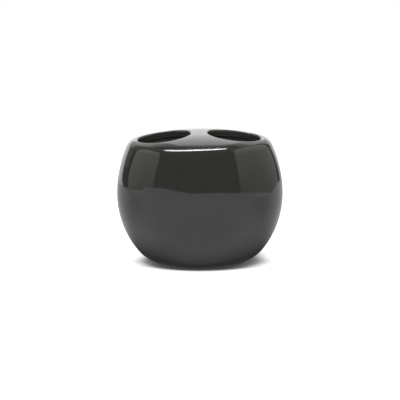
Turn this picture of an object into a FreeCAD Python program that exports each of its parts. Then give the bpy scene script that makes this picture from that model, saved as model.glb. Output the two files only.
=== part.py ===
"""Globe toothbrush holder: one slip-cast, glazed vessel with two oval mouths either side of a bridge,
standing on four self-adhesive feet.

Millimetres, +Z up. The origin is on the counter, under the middle of the vessel. The mouths lie side by
side along X, and the bridge between them runs along Y, from the front (-Y) to the back (+Y).
"""

import FreeCAD
import Part

import math
import os

from FreeCAD import Vector

# The globe's outside, as arcs that run into each other
BELLY_DIAMETER = 112.0      # widest circle
BELLY_HEIGHT = 46.6         # of the widest circle, above the counter
OVERALL_HEIGHT = 88.2       # of the crown's middle, above the counter
FOOT_INSET = 22.1           # how far the foot's corner, before its rounding, stands in from the belly
SHOULDER_INSET = 8.8        # how far the shoulder's corner stands in from the belly
CROWN_RISE = 5.6            # of the crown's middle above the shoulder's corner
SHOULDER_RADIUS = 7.2       # rounding of the shoulder's corner
FOOT_EDGE_RADIUS = 24.0     # wide rounding of the foot's corner

# The shell
WALL = 4.5                  # side wall, crown and bridge
FLOOR_THICKNESS = 5.0       # over the recess under the foot
FLOOR_CORNER_RADIUS = 8.0   # inside, where the floor meets the wall

# The two mouths
BRIDGE_WIDTH = 11.2         # narrowest distance between the mouths
RIM_LAND = 2.6              # from a mouth's outer side to where the shoulder's rounding starts
MOUTH_END_INSET = 12.4      # of a mouth's ends, along Y, from the circle round both mouths
RIM_RADIUS = 1.1            # rounding of a mouth's upper edge
INNER_RIM_RADIUS = 1.2      # rounding of a mouth's lower edge

# The foot ring and the feet
FOOT_RING_WIDTH = 4.0       # of its flat land
RECESS_EDGE_RADIUS = 0.6    # rounding of the foot ring's inner corner
PAD_DIAMETER = 10.0
PAD_THICKNESS = 2.0
PAD_PROJECTION = 0.4        # of the feet below the foot ring
PAD_EDGE_RADIUS = 0.5
PAD_MARGIN = 2.0            # between a foot and the recess's wall
ADHESIVE_THICKNESS = 0.2
ADHESIVE_MARGIN = 0.3       # of the adhesive disc inside the foot's edge

# Which way each foot lies from the middle: left and right along X, front and back along Y
PAD_CORNERS = {
    "front_left": (-1, -1),
    "front_right": (1, -1),
    "back_left": (-1, 1),
    "back_right": (1, 1),
}

UP = Vector(0, 0, 1)
DOWN = Vector(0, 0, -1)
SIDEWAYS = Vector(1, 0, 0)
ORIGIN = Vector(0, 0, 0)
FULL_TURN = 360
SEAM_TURN = 90              # brings the seam of a round surface to the back, clear of the mouths
TOUCH = 0.001               # difference under which two sizes count as one
EDGE_SAMPLES = 9            # points looked at along an edge
PARTS_FOLDER = "parts"

# Heights and radii that follow from the sizes above
belly_radius = BELLY_DIAMETER / 2
foot_bottom = PAD_PROJECTION
recess_ceiling = PAD_THICKNESS + ADHESIVE_THICKNESS
floor_top = recess_ceiling + FLOOR_THICKNESS
shoulder_corner_radius = belly_radius - SHOULDER_INSET
shoulder_corner_height = OVERALL_HEIGHT - CROWN_RISE


def arc_radius(stray, run):
    """Radius of an arc that, over a distance of run along its first tangent, strays from it by stray."""
    return (stray ** 2 + run ** 2) / (2 * stray)


lower_arc_radius = arc_radius(FOOT_INSET, BELLY_HEIGHT - foot_bottom)
upper_arc_radius = arc_radius(SHOULDER_INSET, shoulder_corner_height - BELLY_HEIGHT)
crown_radius = arc_radius(CROWN_RISE, shoulder_corner_radius)

# Arc centres, in the half plane of radius (x) and height (z)
lower_centre = Vector(belly_radius - lower_arc_radius, 0, BELLY_HEIGHT)
upper_centre = Vector(belly_radius - upper_arc_radius, 0, BELLY_HEIGHT)
crown_centre = Vector(0, 0, OVERALL_HEIGHT - crown_radius)


def corner_centre(inset, bottom, rounding):
    """Centre of the rounding between a flat bottom and the surface that lies inset inside the lower arc."""
    reach = lower_arc_radius - inset - rounding
    drop = BELLY_HEIGHT - bottom - rounding
    return lower_centre + Vector(math.sqrt(reach ** 2 - drop ** 2), 0, -drop)


def shoulder_centre():
    """Centre of the shoulder's rounding: as far inside the upper arc as inside the crown."""
    from_upper = upper_arc_radius - SHOULDER_RADIUS
    from_crown = crown_radius - SHOULDER_RADIUS
    between = crown_centre - upper_centre
    span = between.Length
    along = (from_upper ** 2 - from_crown ** 2 + span ** 2) / (2 * span)
    across = math.sqrt(from_upper ** 2 - along ** 2)
    direction = between / span
    sideways = Vector(-direction.z, 0, direction.x)
    return upper_centre + direction * along + sideways * across


shoulder_middle = shoulder_centre()
shoulder_start = (shoulder_middle - upper_centre).normalize()   # way to where the upper arc ends
crown_edge = (shoulder_middle - crown_centre).normalize()       # way to where the crown ends
crown_edge_radius = crown_radius * crown_edge.x

# The mouths are ovals inside a circle that keeps the land to the shoulder
mouths_radius = crown_edge_radius - RIM_LAND
mouth_half_width = (mouths_radius - BRIDGE_WIDTH / 2) / 2
mouth_offset = BRIDGE_WIDTH / 2 + mouth_half_width
mouth_half_length = math.sqrt(mouths_radius ** 2 - mouth_offset ** 2) - MOUTH_END_INSET

recess_radius = corner_centre(0, foot_bottom, FOOT_EDGE_RADIUS).x - FOOT_RING_WIDTH
pad_circle_radius = recess_radius - PAD_MARGIN - PAD_DIAMETER / 2


def arc(centre, radius, first, last):
    """Arc about centre, from the way first to the way last, the short way round."""
    middle = (first + last).normalize()
    return Part.Arc(centre + first * radius, centre + middle * radius, centre + last * radius).toShape()


def globe(inset, bottom, rounding):
    """Solid of revolution inset inside the vessel's outside, with a flat bottom and a rounded corner."""
    bottom_middle = Vector(0, 0, bottom)
    corner = corner_centre(inset, bottom, rounding)
    corner_start = (corner - lower_centre).normalize()
    top = crown_centre + UP * (crown_radius - inset)
    outline = Part.Wire([
        Part.makeLine(bottom_middle, Vector(corner.x, 0, bottom)),
        arc(corner, rounding, DOWN, corner_start),
        arc(lower_centre, lower_arc_radius - inset, corner_start, SIDEWAYS),
        arc(upper_centre, upper_arc_radius - inset, SIDEWAYS, shoulder_start),
        arc(shoulder_middle, SHOULDER_RADIUS - inset, shoulder_start, crown_edge),
        arc(crown_centre, crown_radius - inset, crown_edge, UP),
        Part.makeLine(top, bottom_middle),
    ])
    solid = Part.Face(outline).revolve(ORIGIN, UP, FULL_TURN)
    return solid.rotated(ORIGIN, UP, SEAM_TURN)


def real_edges(shape):
    """Edges of a shape that have a length, without the poles of its round surfaces."""
    return [edge for edge in shape.Edges if not edge.Degenerated]


def ring_edges(shape, height, radius):
    """Level circles of a shape at a height and of a radius."""
    found = []
    for edge in real_edges(shape):
        curve = edge.Curve
        if not isinstance(curve, Part.Circle):
            continue
        level = abs(curve.Axis.z) > 1 - TOUCH and abs(curve.Center.z - height) < TOUCH
        if level and abs(curve.Radius - radius) < TOUCH:
            found.append(edge)
    return found


def mouth_cutter(side):
    """Oval prism, from the belly up through the crown, on the side -1 (left) or 1 (right)."""
    middle = Vector(side * mouth_offset, 0, BELLY_HEIGHT)
    length_end = middle + Vector(0, mouth_half_length, 0)
    width_end = middle + Vector(mouth_half_width, 0, 0)
    if mouth_half_length >= mouth_half_width:
        oval = Part.Ellipse(length_end, width_end, middle)
    else:
        oval = Part.Ellipse(width_end, length_end, middle)
    face = Part.Face(Part.Wire([oval.toShape()]))
    return face.extrude(UP * (OVERALL_HEIGHT - BELLY_HEIGHT + CROWN_RISE))


def on_rim(point, surface_radius):
    """Whether a point lies on a mouth's wall and on the crown's surface of that radius."""
    along_width = (abs(point.x) - mouth_offset) / mouth_half_width
    along_length = point.y / mouth_half_length
    on_wall = abs(math.hypot(along_width, along_length) - 1) < TOUCH
    return on_wall and abs(point.distanceToPoint(crown_centre) - surface_radius) < TOUCH


def rim_edges(shape, surface_radius):
    """Edges where the mouths break through the crown's surface of that radius."""
    found = []
    for edge in real_edges(shape):
        if all(on_rim(point, surface_radius) for point in edge.discretize(EDGE_SAMPLES)):
            found.append(edge)
    return found


def vessel():
    """Glazed shell with its bridge, floor and foot ring: one fired piece."""
    outside = globe(0, foot_bottom, FOOT_EDGE_RADIUS)
    recess = Part.makeCylinder(recess_radius, recess_ceiling - foot_bottom, Vector(0, 0, foot_bottom))
    outside = outside.cut(recess)
    outside = outside.makeFillet(RECESS_EDGE_RADIUS, ring_edges(outside, foot_bottom, recess_radius))
    shell = outside.cut(globe(WALL, floor_top, FLOOR_CORNER_RADIUS))
    for side in (-1, 1):
        shell = shell.cut(mouth_cutter(side))
    shell = shell.makeFillet(RIM_RADIUS, rim_edges(shell, crown_radius))
    return shell.makeFillet(INNER_RIM_RADIUS, rim_edges(shell, crown_radius - WALL))


def pad_place(corner):
    """Point on the counter under the middle of the foot at that corner."""
    left_right, front_back = PAD_CORNERS[corner]
    reach = pad_circle_radius / math.sqrt(2)
    return Vector(left_right * reach, front_back * reach, 0)


def foot_pad(corner):
    """Moulded clear foot, flat underneath with a rounded edge."""
    pad = Part.makeCylinder(PAD_DIAMETER / 2, PAD_THICKNESS, pad_place(corner))
    return pad.makeFillet(PAD_EDGE_RADIUS, ring_edges(pad, 0, PAD_DIAMETER / 2))


def adhesive_disc(corner):
    """Double-sided disc that holds a foot to the recess's ceiling."""
    base = pad_place(corner) + UP * PAD_THICKNESS
    return Part.makeCylinder(PAD_DIAMETER / 2 - ADHESIVE_MARGIN, ADHESIVE_THICKNESS, base)


def single_solid(shape):
    """The one solid that a shape holds."""
    solids = shape.Solids
    if len(solids) != 1:
        raise ValueError(f"expected one solid and found {len(solids)}")
    return solids[0]


def build():
    """Every piece of the holder, by name."""
    pieces = {"vessel": vessel()}
    for corner in PAD_CORNERS:
        pieces[f"foot_pad_{corner}"] = foot_pad(corner)
        pieces[f"adhesive_disc_{corner}"] = adhesive_disc(corner)
    return {name: single_solid(shape) for name, shape in pieces.items()}


def main():
    """Writes one STEP file for each piece."""
    os.makedirs(PARTS_FOLDER, exist_ok=True)
    for name, solid in build().items():
        solid.exportStep(os.path.join(PARTS_FOLDER, f"{name}.step"))
        print(name, "valid" if solid.isValid() else "NOT VALID", f"{solid.Volume / 1000:.3f} cm3")
    print(f"crown ends at radius {crown_edge_radius:.2f}, mouths {2 * mouth_half_width:.2f} by "
          f"{2 * mouth_half_length:.2f}, {mouth_offset:.2f} from the middle, feet {pad_place('back_right')}")


main()
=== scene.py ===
# %% [markdown]
# # Globe toothbrush holder
# The holder is one slip-cast globe of stoneware under a dark, glossy glaze. Two oval mouths open its low
# domed crown either side of a bridge, and four clear stick-on feet keep its bare foot ring off the counter.
# The packed CAD model is loaded first, as a fixed frame that every piece of this scene is measured from.

import math

import bmesh
import bpy
import numpy as np
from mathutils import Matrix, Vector


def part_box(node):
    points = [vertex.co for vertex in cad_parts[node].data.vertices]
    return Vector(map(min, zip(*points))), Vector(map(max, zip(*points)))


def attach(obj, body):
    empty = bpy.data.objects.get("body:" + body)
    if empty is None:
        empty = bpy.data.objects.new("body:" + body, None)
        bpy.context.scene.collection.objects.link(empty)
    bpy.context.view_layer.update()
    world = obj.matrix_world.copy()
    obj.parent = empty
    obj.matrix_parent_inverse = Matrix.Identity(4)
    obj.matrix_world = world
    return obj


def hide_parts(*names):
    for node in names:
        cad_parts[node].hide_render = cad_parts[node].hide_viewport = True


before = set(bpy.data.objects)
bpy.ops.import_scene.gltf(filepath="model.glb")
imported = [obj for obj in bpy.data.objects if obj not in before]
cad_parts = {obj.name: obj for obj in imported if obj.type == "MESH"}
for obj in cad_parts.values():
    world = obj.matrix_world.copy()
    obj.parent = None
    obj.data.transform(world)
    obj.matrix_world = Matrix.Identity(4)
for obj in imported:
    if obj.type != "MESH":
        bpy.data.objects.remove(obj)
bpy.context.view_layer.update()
print("CAD nodes", sorted(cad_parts))

# %% [markdown]
# ## The globe's outline
# Cut in half, the globe shows a line of arcs that run smoothly into each other: a wide rounding from the
# foot, a lower side, a slacker upper side, a rounded shoulder and a shallow crown. The line could be drawn by
# hand as a curve, but a glossy surface mirrors every flaw in it, so the arcs are worked out from a few sizes.
# Wherever the frame gives a size, it is read from the frame, so that the looks stay on the CAD model.

# %% Sizes of the outline
MM = 0.001

vessel_low, vessel_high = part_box("vessel")
belly_radius = (vessel_high.x - vessel_low.x) / 2
crown_height = vessel_high.z
foot_height = vessel_low.z
recess_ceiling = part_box("adhesive_disc_front_left")[1].z

BELLY_HEIGHT = 46.6 * MM        # of the widest circle
FOOT_INSET = 22.1 * MM          # of the foot's corner from the belly, before its rounding
SHOULDER_INSET = 8.8 * MM       # of the shoulder's corner from the belly
CROWN_RISE = 5.6 * MM           # of the crown's middle above the shoulder's corner
SHOULDER_ROUND = 7.2 * MM
FOOT_ROUND = 24.0 * MM
print(f"belly {2 * belly_radius / MM:.1f} mm across, crown {crown_height / MM:.1f} mm high")


# %% Arcs of the outline
def arc_radius(stray, run):
    """Radius of an arc that strays from its tangent over a run: both squares' sum over twice the stray."""
    return (stray ** 2 + run ** 2) / (2 * stray)


def crossing(first, first_reach, second, second_reach):
    """Outer crossing of two circles about two centres: along the line of centres, then square to it."""
    offset = second - first
    span = np.linalg.norm(offset)
    forward = (first_reach ** 2 - second_reach ** 2 + span ** 2) / (2 * span)
    aside = math.sqrt(first_reach ** 2 - forward ** 2)
    way = offset / span
    return first + forward * way + aside * np.array([-way[1], way[0]])


def angle_to(centre, point):
    """Angle of the way from centre to point in the half plane of radius and height."""
    return math.atan2(point[1] - centre[1], point[0] - centre[0])


lower_radius = arc_radius(FOOT_INSET, BELLY_HEIGHT - foot_height)
upper_radius = arc_radius(SHOULDER_INSET, crown_height - CROWN_RISE - BELLY_HEIGHT)
crown_radius = arc_radius(CROWN_RISE, belly_radius - SHOULDER_INSET)
lower_centre = np.array([belly_radius - lower_radius, BELLY_HEIGHT])
upper_centre = np.array([belly_radius - upper_radius, BELLY_HEIGHT])
crown_centre = np.array([0.0, crown_height - crown_radius])
shoulder_centre = crossing(upper_centre, upper_radius - SHOULDER_ROUND,
                           crown_centre, crown_radius - SHOULDER_ROUND)
shoulder_angle = angle_to(upper_centre, shoulder_centre)
crown_edge_angle = angle_to(crown_centre, shoulder_centre)
crown_edge_radius = crown_radius * math.cos(crown_edge_angle)
print(f"arcs of {lower_radius / MM:.1f}, {upper_radius / MM:.1f} and {crown_radius / MM:.1f} mm, "
      f"crown ends {crown_edge_radius / MM:.2f} mm out")

# %% [markdown]
# ## Foot, recess and hollow
# Slip casting leaves a wall of even thickness, so the hollow follows the same arcs a wall further in and ends
# in a floor with a wide rounded corner. Underneath, a shallow recess leaves a narrow foot ring, the only
# place that stays bare in the kiln.

# %% Rounded corners of the foot and the floor
WALL = 4.5 * MM
FLOOR_THICKNESS = 5.0 * MM
FLOOR_ROUND = 8.0 * MM
FOOT_RING_WIDTH = 4.0 * MM      # of its flat land
RECESS_ROUND = 0.6 * MM         # of the foot ring's inner edge and of the recess's corner

floor_top = recess_ceiling + FLOOR_THICKNESS


def corner_centre(inset, rounding, flat):
    """Centre of a corner's rounding between the inset lower side and a flat: as far from one as the other."""
    height = flat + rounding
    reach = lower_radius - inset - rounding
    return np.array([lower_centre[0] + math.sqrt(reach ** 2 - (BELLY_HEIGHT - height) ** 2), height])


foot_centre = corner_centre(0, FOOT_ROUND, foot_height)
foot_angle = angle_to(lower_centre, foot_centre)
recess_radius = foot_centre[0] - FOOT_RING_WIDTH
floor_centre = corner_centre(WALL, FLOOR_ROUND, floor_top)
floor_angle = angle_to(lower_centre, floor_centre)
print(f"foot ring {recess_radius / MM:.1f} to {foot_centre[0] / MM:.1f} mm out, "
      f"floor at {floor_top / MM:.1f} mm")


# %% Profiles of the outside and the inside
def arc(centre, radius, start, end, steps):
    """Points on a circle about centre, from one angle to another in equal turns."""
    turn = np.linspace(start, end, steps + 1)
    return np.asarray(centre) + radius * np.column_stack([np.cos(turn), np.sin(turn)])


def straight(start, end, steps):
    """Points on a straight line in equal steps."""
    return np.linspace(start, end, steps + 1)


def joined(*runs):
    """Runs end to end, each without its first point, which the run before it has."""
    return np.vstack([runs[0]] + [run[1:] for run in runs[1:]])


DOWN, RIGHT, UP, LEFT, DOWN_AGAIN = np.radians([-90, 0, 90, 180, 270])
outside = joined(
    straight((0, recess_ceiling), (recess_radius - RECESS_ROUND, recess_ceiling), 14),
    arc((recess_radius - RECESS_ROUND, recess_ceiling - RECESS_ROUND), RECESS_ROUND, UP, RIGHT, 5),
    arc((recess_radius + RECESS_ROUND, foot_height + RECESS_ROUND), RECESS_ROUND, LEFT, DOWN_AGAIN, 5),
    straight((recess_radius + RECESS_ROUND, foot_height), (foot_centre[0], foot_height), 6),
    arc(foot_centre, FOOT_ROUND, DOWN, foot_angle, 28),
    arc(lower_centre, lower_radius, foot_angle, RIGHT, 44),
    arc(upper_centre, upper_radius, RIGHT, shoulder_angle, 44),
    arc(shoulder_centre, SHOULDER_ROUND, shoulder_angle, crown_edge_angle, 20),
)
inside = joined(
    arc(shoulder_centre, SHOULDER_ROUND - WALL, crown_edge_angle, shoulder_angle, 10),
    arc(upper_centre, upper_radius - WALL, shoulder_angle, RIGHT, 24),
    arc(lower_centre, lower_radius - WALL, RIGHT, floor_angle, 28),
    arc(floor_centre, FLOOR_ROUND, floor_angle, DOWN, 10),
    straight((floor_centre[0], floor_top), (0, floor_top), 12),
)
print(len(outside), "points outside,", len(inside), "points inside")

# %% [markdown]
# ## Turning the outline
# On the wheel the whole wall would come from one turn of the outline. A Screw modifier could turn it too, but
# the crown has to meet the wall point by point, so the turn is a grid: one row for each point of the outline
# and one column for each small turn.

# %% Surface of revolution
COLUMNS = 256
azimuths = DOWN + np.linspace(0, 2 * math.pi, COLUMNS, endpoint=False)


def revolved(profile, turns):
    """Radius times cosine, radius times sine, and height: rows are profile points, columns are turns."""
    radius, height = profile[:, :1], profile[:, 1:]
    return np.stack([radius * np.cos(turns), radius * np.sin(turns), height + 0 * turns], axis=-1)


outside_grid = revolved(outside, azimuths)
inside_grid = revolved(inside, azimuths)
print("outside", outside_grid.shape, "inside", inside_grid.shape)

# %% [markdown]
# ## The crown and its two mouths
# The mouths are cut while the clay is leather hard, and a wet sponge rounds their edges. A boolean cut would
# leave ragged triangles that spoil the mirror, so each half of the crown is a grid of its own. Its columns
# run round the mouth, and its rows run from the half's edge over the dome, round the rim as a ball would roll
# along it, down the cut and out again underneath.

# %% Sizes of the mouths
BRIDGE_WIDTH = 11.2 * MM        # narrowest distance between the mouths
RIM_LAND = 2.6 * MM             # from a mouth's outer side to the shoulder's rounding
MOUTH_END_INSET = 12.4 * MM     # of a mouth's ends from the circle round both mouths
RIM_ROUND = 1.1 * MM
INNER_RIM_ROUND = 1.2 * MM

mouths_radius = crown_edge_radius - RIM_LAND
mouth_half_width = (mouths_radius - BRIDGE_WIDTH / 2) / 2
mouth_offset = BRIDGE_WIDTH / 2 + mouth_half_width
mouth_half_length = math.sqrt(mouths_radius ** 2 - mouth_offset ** 2) - MOUTH_END_INSET
print(f"mouths {2 * mouth_half_width / MM:.1f} by {2 * mouth_half_length / MM:.1f} mm, "
      f"{mouth_offset / MM:.2f} mm either side")

# %% Columns round the right mouth
BRIDGE_COLUMNS = 84


def half_edge(radius):
    """Edge of a disc's right half, anticlockwise: the half circle, then the middle line in equal steps."""
    turn = azimuths[:COLUMNS // 2]
    middle = np.linspace(radius, -radius, BRIDGE_COLUMNS, endpoint=False)
    curved = radius * np.column_stack([np.cos(turn), np.sin(turn)])
    return np.vstack([curved, np.column_stack([np.zeros_like(middle), middle])])


edge = half_edge(crown_edge_radius)
from_mouth = edge - [mouth_offset, 0]
turn = np.arctan2(from_mouth[:, 1] / mouth_half_length, from_mouth[:, 0] / mouth_half_width)
oval = np.column_stack([mouth_offset + mouth_half_width * np.cos(turn), mouth_half_length * np.sin(turn)])
away = np.column_stack([np.cos(turn) / mouth_half_width, np.sin(turn) / mouth_half_length])
away = away / np.linalg.norm(away, axis=1, keepdims=True)
print(len(edge), "columns round each mouth")


# %% Rows over the dome, the rim and the cut
def on_dome(plan, radius):
    """Points of the plan lifted on to a sphere about the crown's centre: height from Pythagoras."""
    lift = np.sqrt(radius ** 2 - (plan ** 2).sum(axis=-1, keepdims=True))
    return np.concatenate([plan, crown_centre[1] + lift], axis=-1)


def between(first, last, steps):
    """Rows from one row of points to another in equal steps, both ends included."""
    share = np.linspace(0, 1, steps + 1)[:, None, None]
    return first + (last - first) * share


def rolled(ball, rounding, first, last, steps):
    """Rows round a rolling ball: its middle plus its radius times a way that turns evenly to the last."""
    angle = np.arccos((first * last).sum(axis=-1, keepdims=True))
    share = np.linspace(0, 1, steps + 1)[:, None, None]
    way = (np.sin((1 - share) * angle) * first + np.sin(share * angle) * last) / np.sin(angle)
    return ball + rounding * way


def crown_way(points):
    """Unit ways from the crown's centre to points."""
    way = points - [0, 0, crown_centre[1]]
    return way / np.linalg.norm(way, axis=-1, keepdims=True)


into_mouth = -np.column_stack([away, np.zeros(len(away))])
rim_ball = on_dome(oval + RIM_ROUND * away, crown_radius - RIM_ROUND)
inner_ball = on_dome(oval + INNER_RIM_ROUND * away, crown_radius - WALL + INNER_RIM_ROUND)
rim = rolled(rim_ball, RIM_ROUND, crown_way(rim_ball), into_mouth, 10)
inner_rim = rolled(inner_ball, INNER_RIM_ROUND, into_mouth, -crown_way(inner_ball), 6)
dome = on_dome(between(edge, rim[0, :, :2], 26), crown_radius)
cut = between(rim[-1], inner_rim[0], 3)
inner_edge = half_edge((crown_radius - WALL) * math.cos(crown_edge_angle))
underside = on_dome(between(inner_rim[-1, :, :2], inner_edge, 16), crown_radius - WALL)
right_half = np.concatenate([dome, rim[1:], cut[1:], inner_rim[1:], underside[1:]])
left_half = (right_half * [-1, 1, 1])[:, ::-1]
print("each half of the crown", right_half.shape)

# %% [markdown]
# ## Thin glaze and painted light at the rim
# In the kiln the melted glaze draws back from tight edges, so it is thinner and paler along each mouth's
# rim, and that paleness is also a painted highlight along the rim. Inside, where it is only poured in and
# out again, it is thin everywhere, and its pale colour there is also painted light in the hollow. The grid
# knows which rows are which, so the share of thinning and painted light is kept with the vertices as an
# attribute that the finish reads later.

# %% Share of thinning and painted light, row by row
# pale share: partly thin glaze, partly a painted highlight on the rim and painted light inside
THINNING_AND_PAINTED_LIGHT_REACH = 0.8 * MM
RIM_THINNING_AND_PAINTED_LIGHT, CUT_THINNING_AND_PAINTED_LIGHT = 0.40, 0.11


def rim_thinning_and_painted_light():
    """On the dome exponential in the distance from the rim, even steps over the rim's rounding to little on
    the cut, even steps over the inner rounding to full, and full under the crown."""
    fading = RIM_THINNING_AND_PAINTED_LIGHT * np.exp(-np.linalg.norm(dome - rim[0], axis=-1) / THINNING_AND_PAINTED_LIGHT_REACH)
    rounding = np.linspace(RIM_THINNING_AND_PAINTED_LIGHT, CUT_THINNING_AND_PAINTED_LIGHT, len(rim))[1:]
    inner_rounding = np.linspace(CUT_THINNING_AND_PAINTED_LIGHT, 1, len(inner_rim))[1:]
    even_cut = np.full(len(cut) - 1, CUT_THINNING_AND_PAINTED_LIGHT)
    rows = np.concatenate([rounding, even_cut, inner_rounding, np.ones(len(underside) - 1)])
    return np.concatenate([fading, rows[:, None] * np.ones(len(edge))])


thinning_and_painted_light = rim_thinning_and_painted_light()
grids = [outside_grid, right_half, left_half, inside_grid]
shares = [np.zeros(outside_grid.shape[:2]), thinning_and_painted_light, thinning_and_painted_light[:, ::-1], np.ones(inside_grid.shape[:2])]
print(f"thinning from {thinning_and_painted_light.min():.2f} to {thinning_and_painted_light.max():.2f}")


# %% Weld the grids into one vessel
def grid_faces(rows, columns, first):
    """Quads between neighbouring rows and columns, the last column joined to the first."""
    row = first + columns * np.arange(rows - 1)[:, None]
    column = np.arange(columns)
    beside = (column + 1) % columns
    corners = [row + column, row + beside, row + columns + beside, row + columns + column]
    return np.stack(corners, axis=-1).reshape(-1, 4)


def new_piece(name, grids):
    """Mesh object at the origin from grids that close round their columns, one after the other."""
    starts = np.cumsum([0] + [grid.shape[0] * grid.shape[1] for grid in grids])
    points = np.concatenate([grid.reshape(-1, 3) for grid in grids])
    faces = np.concatenate([grid_faces(*grid.shape[:2], first) for grid, first in zip(grids, starts)])
    mesh = bpy.data.meshes.new(name)
    mesh.from_pydata(points, [], faces)
    piece = bpy.data.objects.new(name, mesh)
    bpy.context.scene.collection.objects.link(piece)
    return piece


def weld(piece, distance=1e-6):
    """Merges the points of neighbouring grids that coincide, and shades the faces smoothly."""
    shell = bmesh.new()
    shell.from_mesh(piece.data)
    bmesh.ops.remove_doubles(shell, verts=shell.verts, dist=distance)
    open_edges = sum(not edge.is_manifold for edge in shell.edges)
    shell.to_mesh(piece.data)
    shell.free()
    piece.data.shade_smooth()
    print(piece.name, len(piece.data.vertices), "points,", len(piece.data.polygons), "faces,",
          open_edges, "open edges")


vessel = new_piece("glazed_vessel", grids)
# each point's share of thin glaze and painted light, which the finish reads
thin_and_painted_share = vessel.data.attributes.new("thin_glaze_and_painted_light", "FLOAT", "POINT")
thin_and_painted_share.data.foreach_set("value", np.concatenate([share.ravel() for share in shares]).astype(np.float32))
weld(vessel)

# %% [markdown]
# ## A little unevenness
# A cast and fired globe is never quite true: the clay pulls out of round by a few hundredths of a millimetre,
# and the straight edges mirrored in it sway. Bump in the finish would show the sway only in the light, so the
# points themselves move along their normals by a few long swells.

# %% Swells of the fired wall
SWELL_HEIGHT = 0.05 * MM
SWELL_LENGTHS = np.array([24, 31, 38]) * MM
SWELL_WAYS = np.array([[1.0, 0.3, 0.6], [-0.4, 1.0, 0.5], [0.5, -0.7, 1.0]])
SWELL_PHASES = np.array([0.4, 1.9, 3.1])
CALM_HEIGHT, FULL_HEIGHT = 5 * MM, 14 * MM      # the foot stays true, so that it stands flat


def swell(points):
    """Mean of plane waves: each the sine of the distance along its way over its length, plus its phase."""
    ways = SWELL_WAYS / np.linalg.norm(SWELL_WAYS, axis=1, keepdims=True)
    phase = 2 * math.pi * (points @ ways.T) / SWELL_LENGTHS + SWELL_PHASES
    fade = np.clip((points[:, 2] - CALM_HEIGHT) / (FULL_HEIGHT - CALM_HEIGHT), 0, 1)
    return SWELL_HEIGHT * fade * np.sin(phase).mean(axis=1)


def read_vectors(sequence, name):
    """An attribute of three numbers for each item of a sequence, as an array."""
    flat = np.empty(3 * len(sequence), np.float32)
    sequence.foreach_get(name, flat)
    return flat.reshape(-1, 3)


points = read_vectors(vessel.data.vertices, "co")
normals = read_vectors(vessel.data.vertex_normals, "vector")
moves = swell(points)
vessel.data.vertices.foreach_set("co", (points + moves[:, None] * normals).astype(np.float32).ravel())
vessel.data.update()
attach(vessel, "root")
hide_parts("vessel")
print(f"swells from {moves.min() / MM:.3f} to {moves.max() / MM:.3f} mm")

# %% [markdown]
# ## Clear feet and their adhesive
# The feet are soft clear bumpers, moulded with a rounded lower edge, a softened upper edge and a shallow sink
# in the middle of the underside. A thin die-cut film of adhesive holds each to the recess. Both are turned
# outlines again, set where the frame has them.

# %% Outlines of a foot and its film
CORNERS = ["front_left", "front_right", "back_left", "back_right"]
FOOT_PAD_ROUND = 0.5 * MM
FOOT_PAD_UPPER_ROUND = 0.2 * MM
SINK_DEPTH = 0.06 * MM
SINK_RADIUS = 3.4 * MM
SINK_EDGE = 0.5 * MM
FILM_ROUND = 0.05 * MM
PAD_COLUMNS = 96


def pad_outline(radius, low, high):
    """From the sunk middle of the underside, out round the lower edge, up and in round the upper edge."""
    lower, upper = FOOT_PAD_ROUND, FOOT_PAD_UPPER_ROUND
    return joined(
        straight((0, low + SINK_DEPTH), (SINK_RADIUS - SINK_EDGE, low + SINK_DEPTH), 5),
        straight((SINK_RADIUS - SINK_EDGE, low + SINK_DEPTH), (SINK_RADIUS, low), 3),
        straight((SINK_RADIUS, low), (radius - lower, low), 3),
        arc((radius - lower, low + lower), lower, DOWN, RIGHT, 6),
        arc((radius - upper, high - upper), upper, RIGHT, UP, 4),
        straight((radius - upper, high), (0, high), 6),
    )


def film_outline(radius, low, high):
    """From the middle of the lower face, out round the cut edge and back in over the upper face."""
    return joined(
        straight((0, low), (radius - FILM_ROUND, low), 6),
        arc((radius - FILM_ROUND, low + FILM_ROUND), FILM_ROUND, DOWN, RIGHT, 3),
        arc((radius - FILM_ROUND, high - FILM_ROUND), FILM_ROUND, RIGHT, UP, 3),
        straight((radius - FILM_ROUND, high), (0, high), 6),
    )


def round_piece(name, node, outline):
    """A turned outline moved to the middle of the CAD node that it stands for."""
    low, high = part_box(node)
    middle = np.array([(low.x + high.x) / 2, (low.y + high.y) / 2, 0])
    turns = np.linspace(0, 2 * math.pi, PAD_COLUMNS, endpoint=False)
    piece = new_piece(name, [revolved(outline((high.x - low.x) / 2, low.z, high.z), turns) + middle])
    weld(piece)
    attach(piece, "root")
    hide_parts(node)
    return piece


feet = [round_piece(f"clear_foot_{corner}", f"foot_pad_{corner}", pad_outline)
        for corner in CORNERS]
films = [round_piece(f"adhesive_film_{corner}", f"adhesive_disc_{corner}", film_outline)
         for corner in CORNERS]

# %% [markdown]
# ## Writing finishes as sums
# A finish in Blender is a net of nodes, which is hard to read as code. Here a small class stands for one
# output of a node: adding or multiplying two of them adds the Math nodes, and one method adds any other node.


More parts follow.
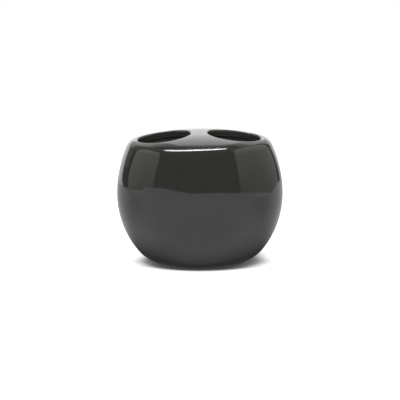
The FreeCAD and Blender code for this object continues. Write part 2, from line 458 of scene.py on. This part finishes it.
# %% One output of a node
class Wire:
    """One output in a node tree. Arithmetic on wires adds Math nodes, and node() adds any other node."""

    def __init__(self, tree, socket=None):
        self.tree, self.socket = tree, socket

    def node(self, kind, settings=None, inputs=None, output=0):
        """Adds a node of a kind, makes its settings, feeds its sockets and gives one of its outputs."""
        made = self.tree.nodes.new(kind)
        for name, setting in (settings or {}).items():
            setattr(made, name, setting)
        for name, value in (inputs or {}).items():
            if isinstance(value, Wire):
                self.tree.links.new(value.socket, made.inputs[name])
            else:
                made.inputs[name].default_value = value
        return Wire(self.tree, made.outputs[output] if made.outputs else None)

    def other(self, output):
        """Another output of the same node."""
        return Wire(self.tree, self.socket.node.outputs[output])

    def math(self, operation, first, second):
        return self.node("ShaderNodeMath", {"operation": operation}, {0: first, 1: second})

    def __add__(self, other):
        return self.math("ADD", self, other)

    def __sub__(self, other):
        return self.math("SUBTRACT", self, other)

    def __rsub__(self, other):
        return self.math("SUBTRACT", other, self)

    def __mul__(self, other):
        return self.math("MULTIPLY", self, other)

    def __truediv__(self, other):
        return self.math("DIVIDE", self, other)

    __radd__, __rmul__ = __add__, __mul__


# %% Patterns that several finishes share
def noise(place, size, detail=2.0):
    """Cloudy pattern from 0 to 1, with lumps of about a size in metres."""
    return place.node("ShaderNodeTexNoise", {}, {"Vector": place, "Scale": 1 / size, "Detail": detail})


def cells(place, spacing):
    """Distance to the nearest of scattered points about a spacing apart, as a share of the spacing."""
    return place.node("ShaderNodeTexVoronoi", {}, {"Vector": place, "Scale": 1 / spacing}, output="Distance")


def raised(height):
    """Normal of a surface raised by a height in metres."""
    return height.node("ShaderNodeBump", {}, {"Height": height, "Distance": 1.0, "Strength": 1.0})


def ramp(value, low, high, start=0.0, end=1.0):
    """A smooth step: start where the value is under low, end where it is over high."""
    return value.node("ShaderNodeMapRange", {"interpolation_type": "SMOOTHSTEP"},
                      {"Value": value, "From Min": low, "From Max": high, "To Min": start, "To Max": end})


def blend(share, first, second):
    """A colour between two, by a share."""
    return share.node("ShaderNodeMix", {"data_type": "RGBA"}, {0: share, 6: first, 7: second}, output=2)


def new_finish(name):
    """An empty material and a wire that carries the Object coordinates of the piece."""
    finish = bpy.data.materials.new(name)
    finish.use_nodes = True
    finish.node_tree.nodes.clear()
    return finish, Wire(finish.node_tree).node("ShaderNodeTexCoord", output="Object")


def close_finish(shader):
    """Feeds the surface with a shader."""
    shader.node("ShaderNodeOutputMaterial", {}, {"Surface": shader})


print("finishes are written with", [name for name in vars(Wire) if not name.startswith("__")])

# %% [markdown]
# ## Anthracite glaze
# The glaze is a glassy coat with a warm, nearly black grey in it. Seen close it is slightly cloudy, with a
# few tiny specks of iron and a soft orange peel that blurs the mirror a little. It is paler where it runs
# thin, on the rims and inside, and that paleness is also painted light: a painted highlight along the rims
# and painted light in the dark hollow. The glaze stops just above the foot ring's flat land, where the bare
# clay shows. A clear coat over a dark base could do it too, but one layer with a glass-like index of
# refraction is the simpler cause of the same look.

# %% Colours and scales of the glaze
GLAZE_GREY = (0.0205, 0.0205, 0.0200, 1)
GLAZE_DEEP = (0.0187, 0.0187, 0.0182, 1)
# pale thin glaze, also painted light inside and a painted highlight on the rims
GLAZE_THIN_AND_PAINTED_LIGHT = (0.195, 0.192, 0.176, 1)
SPECK_BROWN = (0.0620, 0.0520, 0.0410, 1)
CLAY_BUFF = (0.42, 0.36, 0.29, 1)
CLAY_DARK = (0.30, 0.25, 0.20, 1)
GLASS_INDEX = 1.5
GLOSS_ROUGHNESS, GLOSS_DRIFT, GLOSS_DRIFT_SIZE = 0.050, 0.030, 7 * MM
CLOUD_SIZE, CLOUD_RANGE = 13 * MM, (0.3, 0.7)
# share of that pale colour, partly painted light
THIN_AND_PAINTED_SHARE, THIN_AND_PAINTED_CLOUDS = 0.6, 0.3      # how much the thin glaze shows, evenly and by the clouds
SPECK_SPACING, SPECK_RADIUS = 6 * MM, 0.22 * MM
SPECK_SHARE, SPECK_ROUGHNESS = 0.6, 0.05
PEEL_SIZE, PEEL_HEIGHT = 4.5 * MM, 0.006 * MM
CLAY_GRAIN, CLAY_GRAIN_HEIGHT = 0.35 * MM, 0.03 * MM
CLAY_ROUGHNESS, CLAY_DRIFT = 0.75, 0.2
BARE_LINE = 0.10 * MM           # height of the glaze's lower edge above the foot ring's land
BARE_WAVE, BARE_BLUR = 3 * MM, 0.04 * MM        # length of that edge's waves, and its softness
print("glaze", GLAZE_GREY[:3], "clay", CLAY_BUFF[:3])


# %% Glaze over stoneware
def glaze_finish():
    """Glaze and bare clay in one finish, shared out by the height above the foot."""
    finish, place = new_finish("anthracite_glaze")
    height = place.node("ShaderNodeSeparateXYZ", {}, {"Vector": place}, output="Z")
    line = foot_height + BARE_LINE + BARE_LINE * (noise(place, BARE_WAVE) - 0.5)
    bare = 1 - ramp(height - line, -BARE_BLUR, BARE_BLUR)
    clouds = ramp(noise(place, CLOUD_SIZE, detail=3.0), *CLOUD_RANGE)
    specks = 1 - ramp(cells(place, SPECK_SPACING) * SPECK_SPACING, SPECK_RADIUS / 2, SPECK_RADIUS)
    thin_and_painted = place.node("ShaderNodeAttribute", {"attribute_name": "thin_glaze_and_painted_light"}, {}, output="Fac")
    grain = noise(place, CLAY_GRAIN, detail=3.0)

    colour = blend(clouds, GLAZE_DEEP, GLAZE_GREY)
    colour = blend(specks * SPECK_SHARE, colour, SPECK_BROWN)
    # paler where thin: partly thin glaze, partly a painted highlight on the rims and painted light inside
    colour = blend(thin_and_painted * (THIN_AND_PAINTED_SHARE + THIN_AND_PAINTED_CLOUDS * clouds), colour, GLAZE_THIN_AND_PAINTED_LIGHT)
    colour = blend(bare, colour, blend(grain, CLAY_DARK, CLAY_BUFF))
    drift = noise(place, GLOSS_DRIFT_SIZE, detail=4.0)
    gloss = GLOSS_ROUGHNESS + GLOSS_DRIFT * drift + SPECK_ROUGHNESS * specks
    roughness = gloss * (1 - bare) + (CLAY_ROUGHNESS + CLAY_DRIFT * grain) * bare
    relief = PEEL_HEIGHT * noise(place, PEEL_SIZE) * (1 - bare) + CLAY_GRAIN_HEIGHT * grain * bare
    close_finish(place.node("ShaderNodeBsdfPrincipled", {}, {
        "Base Color": colour, "Roughness": roughness, "IOR": GLASS_INDEX, "Normal": raised(relief)}))
    return finish


vessel.data.materials.append(glaze_finish())
print("vessel finished with", vessel.data.materials[0].name)

# %% [markdown]
# ## Clear feet and film
# Soft clear polyurethane lets most light through and has a satin skin with a faint flow pattern from the
# mould. The film is a milky acrylic with tiny trapped bubbles. Plain white plastic would pass under the
# globe, but a part may be turned over, so both get a finish of their own.

# %% Polyurethane and acrylic
FOOT_CLEAR = (0.80, 0.83, 0.83, 1)
FOOT_MILKY = (0.66, 0.70, 0.71, 1)
FOOT_INDEX, FOOT_CLEARNESS = 1.48, 0.85
FLOW_SIZE = 2.5 * MM
FOOT_ROUGHNESS, FLOW_ROUGHNESS = 0.22, 0.2
SKIN_SIZE, SKIN_HEIGHT = 0.3 * MM, 0.004 * MM
FILM_PALE = (0.64, 0.62, 0.56, 1)
FILM_BUBBLE = (0.80, 0.79, 0.75, 1)
BUBBLE_SPACING, BUBBLE_EDGE = 0.9 * MM, (0.12, 0.28)    # the edge in shares of the spacing
FILM_ROUGHNESS, FILM_DRIFT, FILM_DRIFT_SIZE = 0.40, 0.25, 2 * MM


def foot_finish():
    """Clear soft plastic: colour and roughness drift with the flow in the mould."""
    finish, place = new_finish("clear_foot")
    flow = noise(place, FLOW_SIZE, detail=3.0)
    close_finish(place.node("ShaderNodeBsdfPrincipled", {}, {
        "Base Color": blend(flow, FOOT_CLEAR, FOOT_MILKY),
        "Roughness": FOOT_ROUGHNESS + FLOW_ROUGHNESS * flow,
        "IOR": FOOT_INDEX, "Transmission Weight": FOOT_CLEARNESS,
        "Normal": raised(SKIN_HEIGHT * noise(place, SKIN_SIZE))}))
    return finish


def film_finish():
    """Milky film with paler bubbles."""
    finish, place = new_finish("adhesive_film")
    bubbles = 1 - ramp(cells(place, BUBBLE_SPACING), *BUBBLE_EDGE)
    drift = noise(place, FILM_DRIFT_SIZE)
    close_finish(place.node("ShaderNodeBsdfPrincipled", {}, {
        "Base Color": blend(bubbles, FILM_PALE, FILM_BUBBLE),
        "Roughness": FILM_ROUGHNESS + FILM_DRIFT * drift}))
    return finish


foot_clear, film_milky = foot_finish(), film_finish()
for foot, film in zip(feet, films):
    foot.data.materials.append(foot_clear)
    film.data.materials.append(film_milky)
print(len(feet), "feet and", len(films), "films finished")

# %% [markdown]
# ## Table
# The holder stands on a pale table in a plain studio. The table is a matt sheet that keeps the soft shadow.
# It could be lit until it is white, but that would light the holder too much, so it glows a little of itself
# wherever nothing close by covers it: towards the lens, and towards mirrors, there most of all in front.

# %% Sheets of the stage
def seen_by_mirrors(path):
    """1 for rays from a mirror or through glass, given a Light Path output, and 0 for others."""
    return path.math("MINIMUM", path.other("Is Glossy Ray") + path.other("Is Transmission Ray"), 1.0)


def sheet_piece(name, points):
    """Stage mesh from an open grid of points."""
    rows, columns = points.shape[:2]
    index = np.arange(rows * columns).reshape(rows, columns)
    corners = [index[:-1, :-1], index[:-1, 1:], index[1:, 1:], index[1:, :-1]]
    mesh = bpy.data.meshes.new(name)
    mesh.from_pydata(points.reshape(-1, 3), [], np.stack(corners, axis=-1).reshape(-1, 4))
    piece = bpy.data.objects.new(name, mesh)
    bpy.context.scene.collection.objects.link(piece)
    return piece


TABLE_SIDES, TABLE_ENDS = (-0.85, 0.48), (-1.5, 0.40)
across, lengthwise = np.meshgrid(TABLE_SIDES, TABLE_ENDS)
table = sheet_piece("pale_table", np.stack([across, lengthwise, 0 * across], axis=-1))
print("table", tuple(round(side, 2) for side in table.dimensions))

# %% Finish of the table
TABLE_PALE = (0.70, 0.70, 0.70, 1)
LENS_GLOW, MIRROR_GLOW = 0.855, 1.11
SHADE_REACH, SHADE_SAMPLES = 90 * MM, 32        # how near something has to be to cover the table
SHADE_AZIMUTH, SHADE_ELEVATION = -13, 62    # which way the table looks for it
LENS_OPEN = (0.340, 0.675)      # openness over which the glow towards the lens comes up
MIRROR_OPEN = (0.420, 0.945)    # the same for the glow towards mirrors
COVERED_GLOW = 0.085            # share of the glow towards mirrors that stays where the table is covered
DEPTH_SKEW = 0.10               # how much of X counts with Y in the depth
FRONT_DEPTH = (-57.5 * MM, -18.5 * MM)      # where light from the front adds openness
FRONT_OPEN, FRONT_OPEN_MIRROR = 0.78, 0.05
BACK_DEPTH, BACK_OPEN = (-7 * MM, 17 * MM), 0.12        # the same for light from behind
NEAR_REACH = 45 * MM            # added to the distance, so that the fade below is gentle near the holder
GLOW_FADE = (-0.42, 0.04)       # depth over distance where the glow towards mirrors fades
FADED_GLOW = 0.66               # share of that glow beside and behind the holder
SIDE_REACH = (50 * MM, 110 * MM)        # distance where the holder's sides stop hiding the table from mirrors
SIDE_TURN = (0.05, 0.45)        # X over distance where that cover comes up
LEFT_COVER, RIGHT_COVER = 0.115, 0.04


def direction(azimuth, elevation):
    """Unit way at an azimuth from the front, towards the right, and an elevation, both in degrees."""
    turn, lift = np.radians(azimuth), np.radians(elevation)
    return np.stack([np.sin(turn) * np.cos(lift), -np.cos(turn) * np.cos(lift), np.sin(lift)], axis=-1)


table_finish, place = new_finish("pale_table")
leaning = dict(zip("XYZ", direction(SHADE_AZIMUTH, SHADE_ELEVATION)))
look = place.node("ShaderNodeCombineXYZ", {}, leaning)
openness = place.node("ShaderNodeAmbientOcclusion", {"samples": SHADE_SAMPLES},
                      {"Distance": SHADE_REACH, "Normal": look}, output="AO")
sideways = place.node("ShaderNodeSeparateXYZ", {}, {"Vector": place}, output="X")
depth = sideways.other("Y") + DEPTH_SKEW * sideways
lens = place.node("ShaderNodeLightPath", output="Is Camera Ray")
matt = place.node("ShaderNodeBsdfDiffuse", {}, {"Color": TABLE_PALE})
front = ramp(depth, *FRONT_DEPTH, 1.0, 0.0)
distance = place.node("ShaderNodeVectorMath", {"operation": "LENGTH"}, {0: place}, output="Value")
fade = ramp(depth / (distance + NEAR_REACH), *GLOW_FADE, 1.0, FADED_GLOW)
lens_open = openness + FRONT_OPEN * front + ramp(depth, *BACK_DEPTH, 0.0, BACK_OPEN)
side = sideways / (distance + NEAR_REACH)
cover = ramp(0 - side, *SIDE_TURN, 0.0, LEFT_COVER) + ramp(side, *SIDE_TURN, 0.0, RIGHT_COVER)
mirror_open = openness + FRONT_OPEN_MIRROR * front - cover * ramp(distance, *SIDE_REACH, 1.0, 0.0)
lens_glow = place.node("ShaderNodeEmission", {}, {"Color": LENS_GLOW * ramp(lens_open, *LENS_OPEN) * lens})
mirror_glow = place.node("ShaderNodeEmission", {}, {
    "Color": MIRROR_GLOW * ramp(mirror_open, *MIRROR_OPEN, COVERED_GLOW) * fade})
lit = place.node("ShaderNodeAddShader", {}, {0: matt, 1: lens_glow})
close_finish(place.node("ShaderNodeMixShader", {}, {0: seen_by_mirrors(lens), 1: lit, 2: mirror_glow}))
table.data.materials.append(table_finish)
print("table finished with", len(table_finish.node_tree.nodes), "nodes")

# %% [markdown]
# ## What the glaze mirrors
# A glossy pot is photographed by choosing what it mirrors. Here that is a dim room, a tall card on each side
# with a dark gap behind it, a pale backdrop with dimmer wings and a shaded hem, a low white lip in front of
# the table and a bright strip overhead. Lamps could stand in for them, but cards that only mirrors can see
# leave the light on the table alone, so their shapes can follow the photograph. A card is a patch of a sphere
# round the globe, given by the directions that it covers.

# %% A card for mirrors
STUDIO_MIDDLE = np.array([0, 0, (crown_height + foot_height) / 2])
WARM_WHITE = (1.0, 1.0, 0.88)
NEUTRAL_WHITE = (1.0, 1.0, 1.0)
CAMERA_AZIMUTH = -0.86          # the cards are set out as seen from the lens, so they turn with it
LOW_CARD_GRID, TALL_CARD_GRID = (181, 41), (61, 91)     # columns and rows


def card(name, points, glow, colour):
    """A sheet that only mirrors and glass see, glowing by a strength for each of its points."""
    turn = math.radians(CAMERA_AZIMUTH)
    about_z = np.array([[math.cos(turn), math.sin(turn), 0], [-math.sin(turn), math.cos(turn), 0], [0, 0, 1]])
    piece = sheet_piece(name, points @ about_z)
    share = piece.data.attributes.new("glow", "FLOAT", "POINT")
    share.data.foreach_set("value", np.asarray(glow, np.float32).ravel())
    finish, place = new_finish(name)
    strength = place.node("ShaderNodeAttribute", {"attribute_name": "glow"}, {}, output="Fac")
    light = place.node("ShaderNodeVectorMath", {"operation": "SCALE"}, {0: colour, "Scale": strength})
    close_finish(place.node("ShaderNodeEmission", {}, {"Color": light}))
    piece.data.materials.append(finish)
    piece.visible_camera = piece.visible_diffuse = piece.visible_shadow = False
    return piece


def read_off(pairs, place):
    """Value at a place, evenly between the nearest of a list of places with the values there."""
    return np.interp(place, *np.transpose(pairs))


def mixed(start, end, share):
    """Start plus a share of the way to the end."""
    return start + (end - start) * share


def card_shares(columns, rows):
    """Shares of the way over and up a card, in equal steps."""
    return np.meshgrid(np.linspace(0, 1, columns), np.linspace(0, 1, rows))


def low_card(name, bottom, top, distance, glow, colour, ends=(1, 1)):
    """Patch of a sphere from a bottom elevation up to an edge, a list of azimuths with the elevation there.

    Its glow is a list of elevations with the strength there, times a share that runs from end to end."""
    over, up = card_shares(*LOW_CARD_GRID)
    azimuth = mixed(top[0][0], top[-1][0], over)
    elevation = mixed(bottom, read_off(top, azimuth), up)
    strength = read_off(glow, elevation) * mixed(*ends, over)
    return card(name, STUDIO_MIDDLE + distance * direction(azimuth, elevation), strength, colour)


def tall_card(name, left, right, distance, glow, colour, ends=(1, 1)):
    """Patch of a sphere between a left and a right edge, lists of elevations with the azimuth there."""
    over, up = card_shares(*TALL_CARD_GRID)
    elevation = mixed(left[0][0], left[-1][0], up)
    azimuth = mixed(read_off(left, elevation), read_off(right, elevation), over)
    strength = read_off(glow, elevation) * mixed(*ends, over)
    return card(name, STUDIO_MIDDLE + distance * direction(azimuth, elevation), strength, colour)


print("cards stand round", [round(side, 3) for side in STUDIO_MIDDLE])

# %% Room, backdrop and lip
ROOM_DISTANCE, ROOM_BOTTOM, ROOM_GLOW = 3.6, -30, 0.26
BACKDROP_BOTTOM = -10
HEM_DISTANCE, HEM_GLOW = 3.25, 0.35
HEM_EDGE = [(165, 26.5), (173.5, 28.3), (174.7, 29.3), (176, 30.4), (177.4, 31.6), (180, 31.9), (182.4, 31.7),
            (184.7, 30.4), (185.8, 29.1), (187.3, 27.4), (195, 26)]
WINGS_DISTANCE, WINGS_GLOW = 3.2, 0.66
WINGS_EDGE = [(150, 3), (155, 17), (160, 22), (170, 22.5), (174, 25), (186, 25.5), (189, 24.5), (208, 23.5),
              (211, 12), (215, 4)]
BACKDROP_DISTANCE, BACKDROP_ENDS = 3.0, (0.65, 1.05)
BACKDROP_GLOW = [(-8, 1.1), (0, 1.28), (7, 1.54), (15, 2.02), (22, 1.72), (30, 1.2)]
BACKDROP_EDGE = [(150, 3), (155, 8), (160, 10), (172, 10), (174, 26), (176, 29.5), (180, 30.4), (184, 29.8),
                 (186, 24), (187.5, 10), (208, 10), (212, 6), (218, 0), (221, -3.5), (231, -5.5)]
LIP_DISTANCE, LIP_BOTTOM, LIP_GLOW = 1.6, -7, 1.05
LIP_EDGE = [(-113, -3.6), (-99, -1.4), (-85, 0.8), (-81, 4), (-70, 4.8), (-49, 6.2), (-27, 5.6), (-13, 5.1),
            (7, 4.9), (28, 4.3), (57, 1.7), (91, -3.2), (112, -6)]
low_card("dim_room", ROOM_BOTTOM, [(-180, 90), (180, 90)], ROOM_DISTANCE, [(0, ROOM_GLOW)], WARM_WHITE)
low_card("backdrop_wings", BACKDROP_BOTTOM, WINGS_EDGE, WINGS_DISTANCE, [(0, WINGS_GLOW)], NEUTRAL_WHITE)
low_card("backdrop_hem", BACKDROP_BOTTOM, HEM_EDGE, HEM_DISTANCE, [(0, HEM_GLOW)], NEUTRAL_WHITE)
low_card("backdrop", BACKDROP_BOTTOM, BACKDROP_EDGE, BACKDROP_DISTANCE, BACKDROP_GLOW, NEUTRAL_WHITE,
         BACKDROP_ENDS)
low_card("front_lip", LIP_BOTTOM, LIP_EDGE, LIP_DISTANCE, [(0, LIP_GLOW)], NEUTRAL_WHITE)
print("backdrop up to", max(elevation for azimuth, elevation in BACKDROP_EDGE), "degrees")

# %% Cards at the sides, and dark gaps
CARD_DISTANCE, RIGHT_CARD_ENDS = 3.0, (1, 0.75)
LEFT_CARD_GLOW, RIGHT_CARD_GLOW = [(-6, 0.50), (54.5, 1.38)], [(-6, 0.50), (61.5, 1.35)]
LEFT_CARD_LEFT = [(-6, -115), (3, -119), (13, -120), (24, -124), (36, -134), (43, -135), (47, -132),
                  (52, -118), (54.5, -101)]
LEFT_CARD_RIGHT = [(-6, -69), (12, -68), (28, -69), (33, -71), (43, -79), (50, -88), (54.5, -99)]
RIGHT_CARD_LEFT = [(-6, 58.5), (12, 57.5), (23, 59), (33, 62), (45, 70), (55, 83), (60, 100), (61.5, 120)]
RIGHT_CARD_RIGHT = [(-6, 138), (4, 141), (15, 144), (23, 151), (31, 160), (37, 162), (49, 156), (57, 143),
                    (61.5, 121)]
GAP_DISTANCE, SIDE_GAP_GLOW, BACK_GAP_GLOW = 3.3, [(0, 0.12)], [(0, 0.10)]
LEFT_GAP = [(-8, -150), (0, -147), (4, -128), (24, -129)], [(-8, -110), (24, -110)]
RIGHT_GAP = [(-8, 130), (24, 130)], [(-8, 155), (5, 152), (24, 158)]
BACK_GAP = [(22, 168), (62, 168)], [(22, 192), (62, 192)]
tall_card("left_card", LEFT_CARD_LEFT, LEFT_CARD_RIGHT, CARD_DISTANCE, LEFT_CARD_GLOW, WARM_WHITE)
tall_card("right_card", RIGHT_CARD_LEFT, RIGHT_CARD_RIGHT, CARD_DISTANCE, RIGHT_CARD_GLOW, WARM_WHITE,
          RIGHT_CARD_ENDS)
tall_card("left_gap", *LEFT_GAP, GAP_DISTANCE, SIDE_GAP_GLOW, WARM_WHITE)
tall_card("right_gap", *RIGHT_GAP, GAP_DISTANCE, SIDE_GAP_GLOW, WARM_WHITE)
tall_card("back_gap", *BACK_GAP, GAP_DISTANCE, BACK_GAP_GLOW, WARM_WHITE)
print("side cards up to", LEFT_CARD_LEFT[-1][0], "and", RIGHT_CARD_LEFT[-1][0], "degrees")

# %% Strip overhead
STRIP_HEIGHT = 1.6              # over the crown
STRIP_GLOW = 10.0
STRIP_FRONT = [(-0.37, 0.60), (-0.30, 0.46), (-0.12, 0.60), (0.01, 0.85), (0.10, 1.10), (0.17, 1.33)]
STRIP_BACK = [(-0.30, 0.88), (-0.23, 1.07), (-0.15, 1.25), (-0.06, 1.42), (0.06, 1.46), (0.15, 1.54)]
plan = STRIP_HEIGHT * np.array([STRIP_FRONT, STRIP_BACK])       # its edges are shares of its height
strip_points = np.concatenate([plan, np.full(plan.shape[:2] + (1,), crown_height + STRIP_HEIGHT)], axis=-1)
card("overhead_strip", strip_points, np.full(plan.shape[:2], STRIP_GLOW), NEUTRAL_WHITE)
print("strip with", plan.shape[1], "points along each edge")

# %% [markdown]
# ## Light
# One wide soft light from the front and above falls on the holder and the table, so the shadow gathers under
# the belly. A sun lamp with a wide angle lights the whole table evenly, which an area lamp near it would not.
# A small light beside the lens looks into the mouths, as a lamp on the camera would. The world fills in the
# rest and is white to the lens and to mirrors.

# %% Soft light and white world
LIGHT_ELEVATION = 65
LIGHT_SPREAD = 70
SOFT_LIGHT = 0.25               # of the brightness of a white sheet that faces it
LENS_LIGHT_ELEVATION, LENS_LIGHT_SPREAD = 11.6, 4
LENS_LIGHT = 0.17
FILL_LIGHT = 0.78


def soft_lamp(name, azimuth, elevation, spread, strength):
    """Sun lamp of an angle, from a direction, that mirrors do not see."""
    lamp = bpy.data.lights.new(name, "SUN")
    lamp.energy = strength * math.pi
    lamp.angle = math.radians(spread)
    lamp_object = bpy.data.objects.new(name, lamp)
    lamp_object.rotation_euler = Vector(-direction(azimuth, elevation)).to_track_quat("-Z", "Y").to_euler()
    lamp_object.visible_glossy = False
    bpy.context.scene.collection.objects.link(lamp_object)


soft_lamp("soft_light", 0, LIGHT_ELEVATION, LIGHT_SPREAD, SOFT_LIGHT)
soft_lamp("lens_light", CAMERA_AZIMUTH, LENS_LIGHT_ELEVATION, LENS_LIGHT_SPREAD, LENS_LIGHT)

world = bpy.data.worlds.new("white_studio")
bpy.context.scene.world = world
world.use_nodes = True
world.node_tree.nodes.clear()
lens = Wire(world.node_tree).node("ShaderNodeLightPath", output="Is Camera Ray")
seen = lens + seen_by_mirrors(lens)
sky = seen.node("ShaderNodeBackground", {}, {"Color": FILL_LIGHT + (1 - FILL_LIGHT) * seen})
seen.node("ShaderNodeOutputWorld", {}, {"Surface": sky})
bpy.context.scene.view_settings.view_transform = "Standard"
print("light", SOFT_LIGHT, "from above,", LENS_LIGHT, "beside the lens and", FILL_LIGHT, "all round")

# %% [markdown]
# ## Camera
# A long lens a good arm's length away looks slightly down on the holder, a touch from the left and with a
# slight roll, as the photograph was taken. A short lens close by would fill the picture too, but it would
# swell the belly and flatten the crown.

# %% Long lens
CAMERA_DISTANCE = 1.2
CAMERA_ELEVATION, CAMERA_ROLL = 11.03, -0.82
CAMERA_LENS = 159.84
AIM = Vector((0, 0, 45.4 * MM))         # the distance and the angles are measured to this point
AIM_DROP = 3.59 * MM                    # the lens points this much lower, which lifts the holder in view

camera_data = bpy.data.cameras.new("long_lens")
camera_data.lens = CAMERA_LENS
camera = bpy.data.objects.new("long_lens", camera_data)
camera.location = AIM + CAMERA_DISTANCE * Vector(direction(CAMERA_AZIMUTH, CAMERA_ELEVATION))
looking = AIM - Vector((0, 0, AIM_DROP)) - camera.location
camera.rotation_euler = looking.to_track_quat("-Z", "Y").to_euler()
camera.rotation_euler.rotate_axis("Z", math.radians(CAMERA_ROLL))
bpy.context.scene.collection.objects.link(camera)
bpy.context.scene.camera = camera
print("camera at", tuple(round(side, 4) for side in camera.location))

# %% [markdown]
